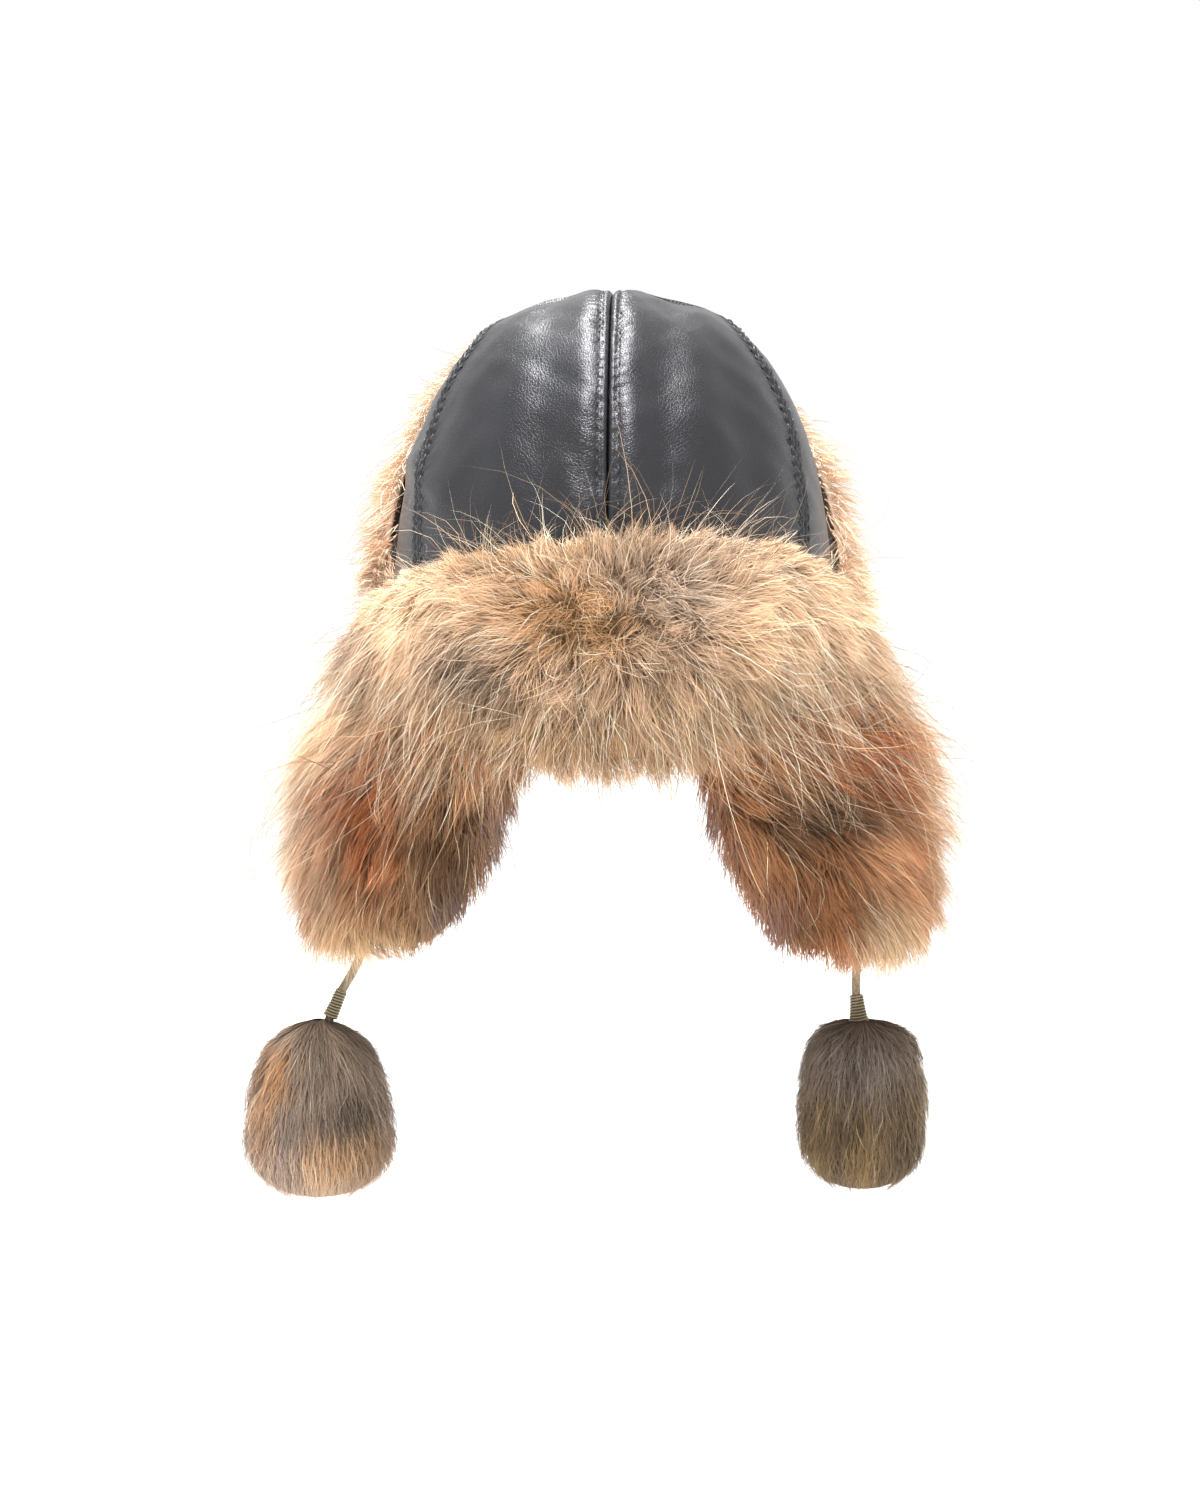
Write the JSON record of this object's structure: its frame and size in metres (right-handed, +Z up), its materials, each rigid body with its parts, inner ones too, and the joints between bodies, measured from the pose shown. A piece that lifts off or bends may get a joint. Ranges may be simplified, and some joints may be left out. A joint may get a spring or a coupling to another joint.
{
  "type": "leather and fur trapper hat",
  "caption": "Domed leather winter hat with a turned-up fur peak, fur ear flaps hanging down, a fur back flap, and fur pompoms on short ties.",
  "frame": {"origin": "middle of the head opening, on the plane of the crown's rim", "axes": "+Z up through the crown, -Y towards the front of the hat (the peak), +X to the right of someone facing the hat"},
  "size_m": [0.3115, 0.2916, 0.4073],
  "materials": {
    "crown_leather": "smooth black nappa leather with a soft sheen, stitched seams",
    "backing_leather": "plain matt black leather",
    "peak_fur": "deep beige fur with grey-brown flecks and pale guard hairs",
    "ear_fur": "deep rust and tan fur with dark inner areas and slate tips",
    "nape_fur": "deep cream and peach fur with brown underfur",
    "tie_cord": "matt tan leather cord",
    "tie_binding": "dark olive waxed thread wound in turns",
    "pompom_fur_light": "grey-taupe and rusty tan fur",
    "pompom_fur_dark": "dark taupe fur with a paler edge"
  },
  "bodies": {
    "root": {"crown_top_panel_left": "crown_leather", "crown_top_panel_right": "crown_leather", "crown_side_panel_left": "crown_leather", "crown_side_panel_right": "crown_leather", "peak": "backing_leather", "peak_fur": "peak_fur", "nape_flap": "backing_leather", "nape_fur": "nape_fur", "ear_flap_left": "backing_leather", "ear_flap_right": "backing_leather", "ear_fur_left": "ear_fur", "ear_fur_right": "ear_fur", "tie_cord_left": "tie_cord", "tie_cord_right": "tie_cord", "tie_binding_left": "tie_binding", "tie_binding_right": "tie_binding", "pompom_left": "pompom_fur_light", "pompom_right": "pompom_fur_dark"}
  },
  "joints": []
}
